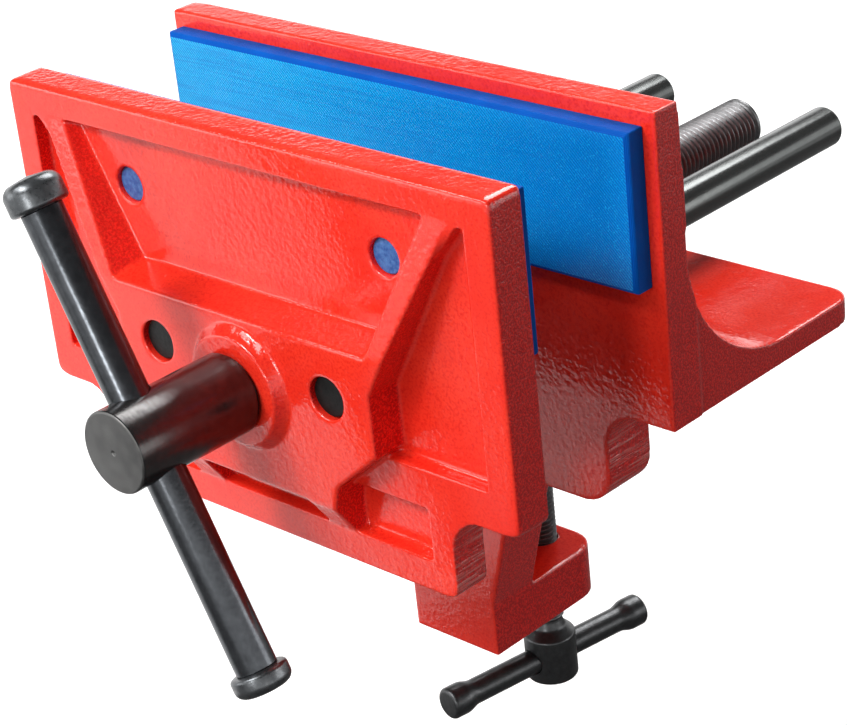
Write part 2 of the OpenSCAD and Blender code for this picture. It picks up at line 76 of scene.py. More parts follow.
def add_piece(name, body, slot, points_mm, faces, stands_for, sharp_degrees=40):
    mesh = bpy.data.meshes.new(name)
    mesh.from_pydata((np.asarray(points_mm) * MM).tolist(), [], faces)
    work = bmesh.new()
    work.from_mesh(mesh)
    bmesh.ops.remove_doubles(work, verts=work.verts, dist=JOIN_DISTANCE * MM)
    bmesh.ops.recalc_face_normals(work, faces=work.faces)
    work.to_mesh(mesh)
    work.free()
    mesh.polygons.foreach_set("use_smooth", [True] * len(mesh.polygons))
    if sharp_degrees:
        mesh.set_sharp_from_angle(angle=math.radians(sharp_degrees))
    piece = bpy.data.objects.new(name, mesh)
    bpy.context.scene.collection.objects.link(piece)
    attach(piece, body)
    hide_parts(*stands_for)
    return piece


NEARLY_STRAIGHT = math.radians(88)
MOST_OF_SIDE = 0.49


def softened(profile, steps=5):
    """Rounds the corners of a (radius, height, corner radius) profile; returns (radius, height) points."""
    points = [np.array(p[:2], float) for p in profile]
    result = [tuple(points[0])]
    for before, here, after, spec in zip(points, points[1:], points[2:], profile[1:-1]):
        back, ahead = before - here, after - here
        back_l, ahead_l = np.linalg.norm(back), np.linalg.norm(ahead)
        half_turn = math.acos(np.clip(back @ ahead / (back_l * ahead_l), -1, 1)) / 2
        radius = spec[2]
        if radius == 0 or half_turn > NEARLY_STRAIGHT:
            result.append(tuple(here))
            continue
        cut = min(radius / math.tan(half_turn), MOST_OF_SIDE * back_l, MOST_OF_SIDE * ahead_l)
        radius = cut * math.tan(half_turn)
        bisector = back / back_l + ahead / ahead_l
        centre = here + bisector / np.linalg.norm(bisector) * radius / math.sin(half_turn)
        start = here + back / back_l * cut - centre
        end = here + ahead / ahead_l * cut - centre
        for i in range(steps + 1):
            share = i / steps
            arm = start * (1 - share) + end * share
            result.append(tuple(centre + arm / np.linalg.norm(arm) * radius))
    result.append(tuple(points[-1]))
    return result


def revolved(profile, ring=False, segments=SEGMENTS):
    """Points and faces of a profile of (radius, height) turned about Z."""
    points, rows, faces = [], [], []
    for radius, height in profile:
        if radius < TINY:
            rows.append([len(points)] * segments)
            points.append((0.0, 0.0, height))
            continue
        rows.append(list(range(len(points), len(points) + segments)))
        for i in range(segments):
            turn = 2 * math.pi * i / segments
            points.append((radius * math.cos(turn), radius * math.sin(turn), height))
    following = rows[1:] + rows[:1] if ring else rows[1:]
    for low, high in zip(rows, following):
        for i in range(segments):
            k = (i + 1) % segments
            face = list(dict.fromkeys([low[i], low[k], high[k], high[i]]))
            if len(face) > 2:
                faces.append(face)
    return np.array(points, float), faces


def placed(points, origin, axis):
    """Turns Z to the axis and moves the points to the origin."""
    turn = Vector((0, 0, 1)).rotation_difference(Vector(axis)).to_matrix()
    return points @ np.array(turn).T + origin


def groove(share):
    """Depth of a thread's groove over one pitch, from 0 on the crest to 1 at the root."""
    crest, root = 0.14, 0.2
    flank = (1 - crest - root) / 2
    if share < crest:
        return 0.0
    if share < crest + flank:
        return (share - crest) / flank
    if share < crest + flank + root:
        return 1.0
    return (1 - share) / flank


def thread(radius, depth, pitch, start, end, runout, rows=10, segments=SEGMENTS):
    """Right-hand screw surface about Z; its rows follow the helix and end in plain rings."""
    count = (int((end - start) / pitch) + 2) * rows
    first = -rows
    points, faces = [], []
    for k in range(first, count + 1):
        share = groove((k % rows) / rows)
        for j in range(segments):
            height = start + (k / rows + j / segments) * pitch
            fade = np.clip(min(height - start, end - height) / runout, 0, 1)
            reach = radius - depth * fade * share
            turn = 2 * math.pi * j / segments
            height = min(max(height, start), end)
            points.append((reach * math.cos(turn), reach * math.sin(turn), height))

    def index(k, j):
        return (k - first) * segments + j

    for k in range(first, count):
        for j in range(segments):
            last = j == segments - 1
            if last and k + 1 + rows > count:
                continue
            right = index(k + rows, 0) if last else index(k, j + 1)
            right_up = index(k + 1 + rows, 0) if last else index(k + 1, j + 1)
            faces.append([index(k, j), right, right_up, index(k + 1, j)])
    return np.array(points, float), faces


def merged(*parts):
    points, faces, start = [], [], 0
    for part_points, part_faces in parts:
        points.append(part_points)
        faces.extend([i + start for i in face] for face in part_faces)
        start += len(part_points)
    return np.vstack(points), faces


def weld(points, faces, distance=0.004):
    """Joins points that lie together and drops faces that have shrunk to a line."""
    work = bmesh.new()
    verts = [work.verts.new(p) for p in points]
    for face in faces:
        corners = list(dict.fromkeys(face))
        if len(corners) > 2:
            work.faces.new([verts[i] for i in corners])
    bmesh.ops.remove_doubles(work, verts=work.verts, dist=distance)
    bmesh.ops.dissolve_degenerate(work, edges=work.edges, dist=distance)
    bmesh.ops.recalc_face_normals(work, faces=work.faces)
    work.verts.index_update()
    result = np.array([v.co for v in work.verts], float), [[v.index for v in f.verts] for f in work.faces]
    work.free()
    return result


def scratch_object(points, faces):
    mesh = bpy.data.meshes.new("scratch")
    mesh.from_pydata(np.asarray(points).tolist(), [], faces)
    mesh.update()
    scratch = bpy.data.objects.new("scratch", mesh)
    bpy.context.scene.collection.objects.link(scratch)
    return scratch


def evaluated(scratch):
    """Points and faces of an object with its modifiers applied."""
    result = scratch.evaluated_get(bpy.context.evaluated_depsgraph_get()).to_mesh()
    points = np.zeros(len(result.vertices) * 3)
    result.vertices.foreach_get("co", points)
    return points.reshape(-1, 3), [list(p.vertices) for p in result.polygons]


def drilled(shape, cutter):
    """Takes the cutter's shape out of a closed shape."""
    body, tool = scratch_object(*shape), scratch_object(*cutter)
    cut = body.modifiers.new("cut", "BOOLEAN")
    cut.operation = "DIFFERENCE"
    cut.solver = "EXACT"
    cut.object = tool
    result = evaluated(body)
    bpy.data.objects.remove(body)
    bpy.data.objects.remove(tool)
    return result


# Material helpers

class Finish:
    """A procedural material in the making. Sizes of its patterns are in millimetres."""

    def __init__(self, name):
        self.material = bpy.data.materials.new(name)
        self.material.use_nodes = True
        self.tree = self.material.node_tree
        self.shader = self.tree.nodes["Principled BSDF"]
        self.coordinates = self.tree.nodes.new("ShaderNodeTexCoord").outputs
        self.place = self.coordinates["Object"]

    def set(self, **values):
        for name, value in values.items():
            self.shader.inputs[name.replace("_", " ")].default_value = value

    def feed(self, name, socket):
        self.tree.links.new(socket, self.shader.inputs[name])

    def node(self, kind, inputs=None, **settings):
        made = self.tree.nodes.new(kind)
        for name, value in settings.items():
            setattr(made, name, value)
        for name, value in (inputs or {}).items():
            if isinstance(value, bpy.types.NodeSocket):
                self.tree.links.new(value, made.inputs[name])
            else:
                made.inputs[name].default_value = value
        return made

    def stretched(self, scale):
        return self.node("ShaderNodeMapping", {"Vector": self.place, "Scale": scale}).outputs["Vector"]

    def noise(self, size, detail=2.0, roughness=0.5, vector=None):
        inputs = {"Vector": vector or self.place, "Scale": 1 / (size * MM)}
        inputs.update({"Detail": detail, "Roughness": roughness})
        return self.node("ShaderNodeTexNoise", inputs).outputs["Fac"]

    def lines(self, pitch, direction):
        """A wave from 0 to 1 with one crest per pitch along the direction."""
        axis = Vector(direction).normalized() * (2 * math.pi / (pitch * MM))
        along = self.node("ShaderNodeVectorMath", {0: self.place, 1: axis}, operation="DOT_PRODUCT")
        wave = self.math("SINE", along.outputs["Value"])
        return self.math("MULTIPLY_ADD", wave, 0.5, 0.5)

    def part(self, vector, axis):
        return self.node("ShaderNodeSeparateXYZ", {"Vector": vector}).outputs[axis]

    def math(self, operation, *values):
        return self.node("ShaderNodeMath", dict(enumerate(values)), operation=operation).outputs[0]

    def spread(self, socket, low, high, to_low=0.0, to_high=1.0):
        inputs = {"Value": socket, "From Min": low, "From Max": high, "To Min": to_low, "To Max": to_high}
        return self.node("ShaderNodeMapRange", inputs).outputs["Result"]

    def mix(self, share, first, second):
        made = self.node("ShaderNodeMix", data_type="RGBA")
        for i, value in ((0, share), (6, first), (7, second)):
            if isinstance(value, bpy.types.NodeSocket):
                self.tree.links.new(value, made.inputs[i])
            else:
                made.inputs[i].default_value = value if i == 0 else (*value, 1)
        return made.outputs[2]

    def bump(self, height, depth, normal=None, strength=1.0):
        inputs = {"Height": height, "Distance": depth * MM, "Strength": strength}
        if normal:
            inputs["Normal"] = normal
        return self.node("ShaderNodeBump", inputs).outputs["Normal"]

    def rough(self, size, detail, low, high):
        """Roughness that wanders between two values in patches of one size."""
        self.feed("Roughness", self.spread(self.noise(size, detail), 0.3, 0.7, low, high))


DRAWN_ALONG_X = (0.04, 1, 1)
DRAWN_ALONG_Y = (1, 0.05, 1)
TURNED_ROUND_Y = (0.1, 3, 0.1)
EVEN = (1, 1, 1)

GRAIN_SIZE, GRAIN_DEPTH = 0.6, 0.15
PEEL_SIZE, PEEL_DEPTH = 1.6, 0.16
WAVE_SIZE, WAVE_DEPTH = 11, 0.08
STROKE_SIZE, STROKE_DEPTH = 0.8, 0.35
PATCH_SIZE, SPECK_SIZE, UNEVEN_SIZE = 22, 0.8, 30
TONGUE_SIDE, TONGUE_SIDE_BAND = 68.0, 8.0
FILED_FROM, FULLY_FILED = -1.0, -4.0
# How far the painted shade and sparkle covers the faces that look along X.
END_SHADE_COVER = 0.9


def beside_tongue(finish, facing_x):
    """Share of filing and of the painted sheen on it: full on the sides of the tongues under both jaws,
    none elsewhere.
    """
    under_jaw = finish.spread(finish.part(finish.place, "Z"), FILED_FROM * MM, FULLY_FILED * MM)
    out = finish.math("ABSOLUTE", finish.part(finish.place, "X"))
    at_side = finish.math("COMPARE", out, TONGUE_SIDE * MM, TONGUE_SIDE_BAND * MM)
    return finish.math("MULTIPLY", finish.math("MULTIPLY", under_jaw, at_side), facing_x)


def enamel_colour(finish, on_ends, grain_relief_and_sparkle, streak_sheen):
    """Red with soft patches and fine specks, a dark grain on the jaw ends as painted shade and sparkle, and
    pale streaks on the filing as painted sheen over real file strokes.
    """
    deep, light, speck = (0.82, 0.027, 0.013), (0.87, 0.040, 0.018), (0.72, 0.016, 0.009)
    # A deeper crimson and a lighter grain for faces that look along X: painted shade of those sides with
    # painted sparkle.
    end_painted_shade, end_painted_sparkle = (0.50, 0.004, 0.005), (0.93, 0.018, 0.014)
    # Pale pink streaks: painted reflection on the file strokes.
    painted_streak_sheen = (0.78, 0.26, 0.23)
    patches = finish.spread(finish.noise(PATCH_SIZE, 3), 0.35, 0.65)
    specks = finish.spread(finish.noise(SPECK_SIZE, 2), 0.45, 0.72)
    colour = finish.mix(specks, finish.mix(patches, deep, light), speck)
    # Painted shade and sparkle laid over the faces that look along X.
    end_shade_and_sparkle = finish.mix(finish.spread(grain_relief_and_sparkle, 0.42, 0.62), end_painted_shade, end_painted_sparkle)
    colour = finish.mix(finish.math("MULTIPLY", on_ends, END_SHADE_COVER), colour, end_shade_and_sparkle)
    return finish.mix(streak_sheen, colour, painted_streak_sheen)


def enamel_relief(finish, on_ends, grain_relief_and_sparkle, strokes, filing_and_sheen):
    """Grain of the casting, peel of the enamel, slow waves and file strokes, one over the other."""
    grain = finish.bump(grain_relief_and_sparkle, GRAIN_DEPTH, strength=finish.spread(on_ends, 0, 1, 0.12, 1.0))
    uneven = finish.spread(finish.noise(UNEVEN_SIZE, 2), 0.35, 0.65, 0.35, 1.0)
    peel_share = finish.math("MULTIPLY", uneven, finish.spread(on_ends, 0, 1, 1.0, 0.3))
    peel = finish.bump(finish.noise(PEEL_SIZE, 1.5), PEEL_DEPTH, grain, peel_share)
    waves = finish.bump(finish.noise(WAVE_SIZE, 1), WAVE_DEPTH, peel)
    return finish.bump(strokes, STROKE_DEPTH, waves, filing_and_sheen)


def enamel():
    """Glossy red enamel over cast iron."""
    finish = Finish("red_enamel")
    facing_x = finish.math("ABSOLUTE", finish.part(finish.coordinates["Normal"], "X"))
    on_ends = finish.spread(facing_x, 0.7, 0.95)
    grain_relief_and_sparkle = finish.noise(GRAIN_SIZE, 2, 0.6)
    filing_and_sheen = beside_tongue(finish, facing_x)
    strokes = finish.noise(STROKE_SIZE, 2, 0.6, finish.stretched(DRAWN_ALONG_Y))
    # On the worked tongue sides the file strokes are real relief; their pale colour is painted reflection.
    streak_sheen = finish.math("MULTIPLY", filing_and_sheen, finish.spread(strokes, 0.48, 0.68, 0.0, 0.7))
    finish.feed("Base Color", enamel_colour(finish, on_ends, grain_relief_and_sparkle, streak_sheen))
    finish.rough(6, 3, 0.10, 0.17)
    finish.feed("Normal", enamel_relief(finish, on_ends, grain_relief_and_sparkle, strokes, filing_and_sheen))
    finish.set(IOR=1.5)
    return finish.material


HATCH_PITCH, HATCH_DEPTH = 0.75, 0.06
CROSS_PITCH, CROSS_DEPTH = 0.9, 0.02
LAYER_PITCH, LAYER_DEPTH = 0.24, 0.05
STREAK_SIZE, GLINT_DOT_SIZE, CLOUD_SIZE = 1.0, 0.5, 26
SAG_SIZE, SAG_DEPTH = 9, 0.10
# The face is painted paler at the left and deeper blue at the right: painted light falling off across the
# pad.
LIT_PALE_AT, SHADED_DEEP_AT = -30.0, 70.0


def plastic_face():
    """Working face of a printed pad: slanted hatch, faint darker streaks as painted sheen, small light
    spots as painted glints, and paler to the left as painted light.
    """
    finish = Finish("printed_blue_face")
    deep, pale = (0.001, 0.195, 0.610), (0.002, 0.540, 0.900)
    stroke_blue, painted_sheen_blue = (0.001, 0.095, 0.380), (0.001, 0.170, 0.500)
    painted_glint_blue = (0.020, 0.500, 0.860)
    # Painted light: paler towards the left, deeper towards the right.
    along = finish.spread(finish.part(finish.place, "X"), LIT_PALE_AT * MM, SHADED_DEEP_AT * MM, 1.0, 0.0)
    clouds = finish.noise(CLOUD_SIZE, 2)
    tone = finish.math("MULTIPLY_ADD", clouds, 0.3, finish.math("MULTIPLY", along, 0.8))
    colour = finish.mix(tone, deep, pale)
    strokes = finish.lines(HATCH_PITCH, (1, 0, 1))
    colour = finish.mix(finish.math("MULTIPLY", strokes, 0.85), colour, stroke_blue)
    streaks = finish.noise(STREAK_SIZE, 2, 0.6, finish.stretched(DRAWN_ALONG_X))
    # Darker streaks along X: painted sheen breaking across the face.
    sheen_streaks = finish.spread(streaks, 0.45, 0.70)
    colour = finish.mix(finish.math("MULTIPLY", sheen_streaks, 0.5), colour, painted_sheen_blue)
    # Small light spots: painted glints.
    glint_dots = finish.spread(finish.noise(GLINT_DOT_SIZE, 1), 0.60, 0.72, 0.0, 0.5)
    finish.feed("Base Color", finish.mix(glint_dots, colour, painted_glint_blue))
    finish.rough(4, 2, 0.28, 0.40)
    bump = finish.bump(strokes, HATCH_DEPTH)
    bump = finish.bump(finish.lines(CROSS_PITCH, (1, 0, -1)), CROSS_DEPTH, bump)
    finish.feed("Normal", finish.bump(finish.noise(SAG_SIZE, 2), SAG_DEPTH, bump))
    finish.set(IOR=1.46, Specular_IOR_Level=0.2)
    return finish.material


def plastic_end():
    """Rough printed end of a stud."""
    finish = Finish("printed_blue_end")
    dark, light = (0.014, 0.070, 0.260), (0.060, 0.165, 0.400)
    tone = finish.spread(finish.noise(1.2, 3, 0.6), 0.35, 0.65)
    finish.feed("Base Color", finish.mix(tone, dark, light))
    finish.rough(2, 2, 0.35, 0.5)
    finish.feed("Normal", finish.bump(finish.noise(0.9, 2), 0.12))
    finish.set(IOR=1.46)
    return finish.material


def plastic_side():
    """Bevel and edge of a printed pad, with its printed layer lines, in a darker blue than the face as
    painted shade.
    """
    finish = Finish("printed_blue_side")
    # A darker blue than the face: painted shade on the bevel and edges.
    dark, light = (0.001, 0.070, 0.370), (0.001, 0.095, 0.450)
    tone = finish.spread(finish.noise(12, 2), 0.3, 0.7)
    finish.feed("Base Color", finish.mix(tone, dark, light))
    finish.rough(3, 2, 0.42, 0.55)
    bump = finish.bump(finish.lines(LAYER_PITCH, (0, 1, 0)), LAYER_DEPTH)
    finish.feed("Normal", finish.bump(finish.noise(1.5, 2), 0.06, bump))
    finish.set(IOR=1.46, Specular_IOR_Level=0.05)
    return finish.material


MARK_SIZE, MARK_DEPTH = 1.0, 0.02
PIT_SIZE, PIT_DEPTH = 0.8, 0.012
STAIN_SIZE = 2.5


def blackened(name, dark, light, rough_low, rough_high, stretch):
    """Blackened steel with drawing or turning marks along the stretched direction."""
    finish = Finish(name)
    marks = finish.noise(MARK_SIZE, 3, 0.6, finish.stretched(stretch))
    stains = finish.spread(finish.noise(STAIN_SIZE, 5, 0.7), 0.3, 0.8)
    finish.feed("Base Color", finish.mix(stains, dark, light))
    finish.feed("Roughness", finish.spread(marks, 0.3, 0.7, rough_low, rough_high))
    bump = finish.bump(marks, MARK_DEPTH)
    finish.feed("Normal", finish.bump(finish.noise(PIT_SIZE, 2), PIT_DEPTH, bump))
    finish.set(Metallic=0.85)
    return finish.material


TURNING_PITCH, TURNING_DEPTH = 0.35, 0.012


def turned_face():
    """Faced end of the screw's head, with rings round the screw's axis."""
    finish = Finish("turned_steel_face")
    dark, light = (0.085, 0.084, 0.083), (0.125, 0.124, 0.122)
    low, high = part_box("lead_screw")
    centre = (low + high) / 2
    middle = (centre.x, 0, centre.z)
    offset = finish.node("ShaderNodeVectorMath", {0: finish.place, 1: middle}, operation="SUBTRACT")
    flat = finish.node("ShaderNodeVectorMath", {0: offset.outputs[0], 1: (1, 0, 1)}, operation="MULTIPLY")
    reach = finish.node("ShaderNodeVectorMath", {0: flat.outputs[0]}, operation="LENGTH").outputs["Value"]
    wave = finish.math("SINE", finish.math("MULTIPLY", reach, 2 * math.pi / (TURNING_PITCH * MM)))
    rings = finish.math("MULTIPLY_ADD", wave, 0.5, 0.5)
    stains = finish.spread(finish.noise(4, 3), 0.35, 0.7)
    finish.feed("Base Color", finish.mix(stains, dark, light))
    finish.rough(2, 2, 0.36, 0.5)
    bump = finish.bump(rings, TURNING_DEPTH)
    finish.feed("Normal", finish.bump(finish.noise(0.7, 2), 0.01, bump))
    finish.set(Metallic=0.9)
    return finish.material


def bright_steel():
    finish = Finish("satin_steel")
    dark, light = (0.42, 0.42, 0.43), (0.58, 0.58, 0.58)
    stains = finish.spread(finish.noise(3, 3), 0.35, 0.7)
    finish.feed("Base Color", finish.mix(stains, dark, light))
    finish.rough(1.5, 2, 0.28, 0.42)
    finish.feed("Normal", finish.bump(finish.noise(0.4, 2), 0.01))
    finish.set(Metallic=1.0)
    return finish.material


def turned_bronze():
    finish = Finish("turned_bronze")
    dark, light = (0.50, 0.30, 0.12), (0.66, 0.44, 0.19)
    stains = finish.spread(finish.noise(5, 3), 0.35, 0.7)
    finish.feed("Base Color", finish.mix(stains, dark, light))
    finish.rough(2, 2, 0.30, 0.45)
    finish.feed("Normal", finish.bump(finish.noise(0.5, 2), 0.012))
    finish.set(Metallic=1.0)
    return finish.material


RED = enamel()
BLUE_FACE = plastic_face()
BLUE_SIDE = plastic_side()
BLUE_END = plastic_end()
BLACK_ROD = blackened(
    "blackened_rod", (0.085, 0.089, 0.088), (0.110, 0.115, 0.113), 0.20, 0.25, DRAWN_ALONG_Y)
BLACK_HEAD = blackened(
    "blackened_head", (0.055, 0.053, 0.053), (0.10, 0.098, 0.096), 0.17, 0.26, TURNED_ROUND_Y)
BLACK_THREAD = blackened("blackened_thread", (0.10, 0.10, 0.102), (0.17, 0.17, 0.173), 0.28, 0.42, EVEN)
BLACK_BAR = blackened("blackened_bar", (0.045, 0.048, 0.053), (0.085, 0.091, 0.099), 0.18, 0.27, EVEN)
BLACK_KNOB = blackened("blackened_knob", (0.075, 0.080, 0.085), (0.140, 0.147, 0.153), 0.24, 0.38, EVEN)
BLACK_TEE = blackened("blackened_tee", (0.045, 0.046, 0.047), (0.080, 0.082, 0.085), 0.28, 0.42, EVEN)
# Near-black steel for the rod ends hidden in the front jaw's bores: painted shade.
ROD_END_PAINTED_SHADE = blackened("rod_end_painted_shade", (0.012, 0.013, 0.013), (0.030, 0.031, 0.031), 0.40, 0.60, EVEN)
HEAD_FACE = turned_face()
STEEL = bright_steel()
BRONZE = turned_bronze()


def give(piece, *materials):
    piece.data.materials.clear()
    for material in materials:
        piece.data.materials.append(material)


# Castings: the solid's shape with every edge rounded as in cast iron

SMOOTHING_SHARE = 0.5


def smoothed(points, faces, passes, share=SMOOTHING_SHARE):
    """Moves each point a share of the way to the middle of its neighbours, several times."""
    pairs = np.array([(a, b) for f in faces for a, b in zip(f, f[1:] + f[:1])])
    starts = np.concatenate([pairs[:, 0], pairs[:, 1]])
    ends = np.concatenate([pairs[:, 1], pairs[:, 0]])
    count = np.bincount(starts, minlength=len(points))[:, None]
    for _ in range(passes):
        total = np.column_stack([np.bincount(starts, points[ends, axis], len(points)) for axis in range(3)])
        points = points + (total / count - points) * share
    return points


def ramp(values, low, high):
    return np.clip((values - low) / (high - low), 0, 1)


def cleared(points, origin, axis, radius, low, high):
    """Pushes points out of a bore so that the shaft in it stays free."""
    along = (points - origin) @ axis
    radial = points - origin - np.outer(along, axis)
    reach = np.linalg.norm(radial, axis=1)
    inside = (reach < radius) & (reach > TINY) & (along > low) & (along < high)
    out = points.copy()
    out[inside] += radial[inside] * (radius / reach[inside] - 1)[:, None]
    return out


VOXEL = 0.5
ROUNDING_PASSES = 3
WEAR_PASSES = 14
WEAR_REACH = 5.0
FULL_WEAR_FRONT, FULL_WEAR_EDGE = 1.0, 2.0
CORNER_WEAR_REACH, CORNER_FULL_WEAR = 20.0, 10.0
BORE_CLEARANCE = 0.25
BORE_REACH = 400.0
CLAMP_BORE_LOW, CLAMP_BORE_HIGH = -120.0, -60.0


def worn_rim(points):
    """Share of extra rounding on the front jaw: full on the outer edges of its front face."""
    high = box_mm("front_jaw")[1]
    in_front = ramp(points[:, 1], rim_y + WEAR_REACH, rim_y + FULL_WEAR_FRONT)
    at_ends = ramp(np.abs(points[:, 0]), high[0] - WEAR_REACH, high[0] - FULL_WEAR_EDGE)
    at_top = ramp(points[:, 2], high[2] - WEAR_REACH, high[2] - FULL_WEAR_EDGE)
    return in_front * np.maximum(at_ends, at_top)


def worn_corner(points):
    """Share of extra rounding on the rear jaw: full on the upper part of its left end."""
    high = box_mm("rear_jaw")[1]
    at_left = ramp(-points[:, 0], high[0] - WEAR_REACH, high[0] - FULL_WEAR_EDGE)
    at_top = ramp(points[:, 2], high[2] - CORNER_WEAR_REACH, high[2] - CORNER_FULL_WEAR)
    return at_left * at_top


def cast_shape(node, wear, bores):
    """The node's solid with rounded edges, more where it is worn, and with its bores kept clear."""
    scratch = bpy.data.objects.new("scratch", nodes[node].data.copy())
    bpy.context.scene.collection.objects.link(scratch)
    remesh = scratch.modifiers.new("remesh", "REMESH")
    remesh.mode = "VOXEL"
    remesh.voxel_size = VOXEL * MM
    points, faces = evaluated(scratch)
    bpy.data.objects.remove(scratch)
    points = points / MM
    worn = wear(points)[:, None] * SMOOTHING_SHARE
    points = smoothed(points, faces, ROUNDING_PASSES)
    points = smoothed(points, faces, WEAR_PASSES, worn)
    for origin, axis, radius, low, high in bores:
        points = cleared(points, origin, axis, radius + BORE_CLEARANCE, low, high)
    return points, faces


def bore_for(node, axis, radius, reach=BORE_REACH):
    return centre_mm(node), axis, radius, -reach, reach


FRONT_THICK = 11.3
ROD_STEP = 0.6
rod_r = (box_mm("rod_left")[1] - box_mm("rod_left")[0])[0] / 2
rod_end_r = rod_r - ROD_STEP
nut_low, nut_high = box_mm("lead_nut")
nut_r = (nut_high[0] - nut_low[0]) / 2
nut_half = (nut_high[1] - nut_low[1]) / 2
CLAMP_R = 5.0
SCREW_R = 8.0
SCREW_ROOM_R = 8.7
front_back_y = box_mm("front_jaw")[1][1]
rim_y = front_back_y - FRONT_THICK

front_bores = [bore_for(node, ALONG_Y, rod_end_r) for node in ("rod_left", "rod_right")]
front_bores.append(bore_for("lead_screw", ALONG_Y, SCREW_R))
front_points, front_faces = cast_shape("front_jaw", worn_rim, front_bores)
front_jaw = add_piece(
    "front_casting", "front", "red_paint", front_points, front_faces, ["front_jaw"], sharp_degrees=0)
give(front_jaw, RED)

rear_bores = [bore_for(node, ALONG_Y, rod_r) for node in ("rod_left", "rod_right")]
rear_bores.append(bore_for("lead_nut", ALONG_Y, nut_r, nut_half))
rear_bores.append(bore_for("lead_nut", ALONG_Y, SCREW_ROOM_R))
rear_bores.append((np.zeros(3), ALONG_Z, CLAMP_R, CLAMP_BORE_LOW, CLAMP_BORE_HIGH))
rear_points, rear_faces = cast_shape("rear_jaw", worn_corner, rear_bores)
rear_jaw = add_piece(
    "rear_casting", "base", "red_paint", rear_points, rear_faces, ["rear_jaw"], sharp_degrees=0)
give(rear_jaw, RED)


# Jaw pads with a bevelled border and two studs each

PAD_BEVEL_IN = 1.2
PAD_BEVEL_DEEP = 0.8
PAD_THICK = 6.2
PAD_EDGE, PAD_EDGE_STEPS, PAD_EDGE_DEGREES = 0.35, 2, 25
STUD_R = 4.9
STUD_OUT = 47.0
STUD_UP = 61.3
STUD_SUNK = 0.5
STUD_EDGE = 0.5
STUD_SEGMENTS = 48
FACE_TOLERANCE, BACK_TOLERANCE = 0.01, 0.1


def bevelled_plate(low, high, back_y, border_y, face_y):
    """Plate between two corners, from its back to its face, with the bevel round the face."""
    points = []
    for y, inset in ((back_y, 0), (border_y, 0), (face_y, PAD_BEVEL_IN)):
        x_low, x_high = low[0] + inset, high[0] - inset
        z_low, z_high = low[2] + inset, high[2] - inset
        points += [(x_low, y, z_low), (x_high, y, z_low), (x_high, y, z_high), (x_low, y, z_high)]
    faces = [[0, 1, 2, 3], [8, 9, 10, 11]]
    for start in (0, 4):
        for i in range(4):
            k = (i + 1) % 4
            faces.append([start + i, start + k, start + 4 + k, start + 4 + i])
    return np.array(points, float), faces


def round_off(piece):
    """Breaks the sharp edges of a pad."""
    bevel = piece.modifiers.new("edges", "BEVEL")
    bevel.width = PAD_EDGE * MM
    bevel.segments = PAD_EDGE_STEPS
    bevel.limit_method = "ANGLE"
    bevel.angle_limit = math.radians(PAD_EDGE_DEGREES)


def pad_piece(name, node, body, facing):
    """A pad whose working face looks along facing, +1 or -1 in Y; the studs point the other way."""
    low, high = box_mm(node)
    face_y, stud_end_y = (high[1], low[1]) if facing > 0 else (low[1], high[1])
    back_y = face_y - facing * PAD_THICK
    border_y = face_y - facing * PAD_BEVEL_DEEP
    stud_l = abs(stud_end_y - back_y)
    stud = softened([
        (0, STUD_SUNK, 0), (STUD_R, STUD_SUNK, 0), (STUD_R, -stud_l, STUD_EDGE), (0, -stud_l, 0),
    ])
    parts = [bevelled_plate(low, high, back_y, border_y, face_y)]
    for x in (-STUD_OUT, STUD_OUT):
        stud_points, stud_faces = revolved(stud, segments=STUD_SEGMENTS)
        parts.append((placed(stud_points, (x, back_y, STUD_UP), ALONG_Y * facing), stud_faces))
    piece = add_piece(name, body, "blue_plastic", *merged(*parts), [node], sharp_degrees=50)
    give(piece, BLUE_FACE, BLUE_SIDE, BLUE_END)
    for polygon in piece.data.polygons:
        depth = abs(polygon.center.y / MM - face_y)
        on_side, on_stud = depth > FACE_TOLERANCE, depth > PAD_THICK + BACK_TOLERANCE
        polygon.material_index = int(on_side) + int(on_stud)
    round_off(piece)


pad_piece("rear_jaw_pad", "rear_pad", "base", facing=-1)
pad_piece("front_jaw_pad", "front_pad", "front", facing=1)


# Turned pieces and guide rods

def turned_piece(name, node, body, slot, profile, origin, axis, material, ring=False):
    points, faces = revolved(profile, ring)
    piece = add_piece(name, body, slot, placed(points, origin, axis), faces, [node])
    give(piece, material)
    return piece


ROD_FRONT_EDGE, ROD_SHOULDER_EDGE, ROD_BACK_EDGE = 0.4, 0.2, 0.9
SHADE_PAINTED_IN = 0.5


def guide_rod(name, node):
    """A rod with a thinner front end in the jaw's bore; its part inside the bore is painted near black as
    shade.
    """
    low, high = box_mm(node)
    middle = (low + high) / 2
    length = high[1] - low[1]
    shoulder = front_back_y - low[1]
    profile = softened([
        (0, 0, 0), (rod_end_r, 0, ROD_FRONT_EDGE), (rod_end_r, shoulder, 0),
        (rod_r, shoulder, ROD_SHOULDER_EDGE), (rod_r, length, ROD_BACK_EDGE), (0, length, 0),
    ])
    origin = (middle[0], low[1], middle[2])
    rod = turned_piece(name, node, "front", "black_steel", profile, origin, ALONG_Y, BLACK_ROD)
    rod.data.materials.append(ROD_END_PAINTED_SHADE)
    # The part of the rod inside the front jaw's bore is painted near black as shade.
    for face in rod.data.polygons:
        if face.center.y / MM < front_back_y - SHADE_PAINTED_IN:
            face.material_index = 1


guide_rod("guide_rod_left", "rod_left")
guide_rod("guide_rod_right", "rod_right")


# Lead screw: head, thread and end, with a cross hole for the handle

def cross_drilled(shape, radius, reach, centre, axis, segments=SEGMENTS):
    """Drills a hole across a turned shape, along the axis and to both sides of the centre."""
    profile = softened([(0, -reach, 0), (radius, -reach, 0), (radius, reach, 0), (0, reach, 0)])
    points, faces = revolved(profile, segments=segments)
    return drilled(shape, (placed(points, centre, axis), faces))


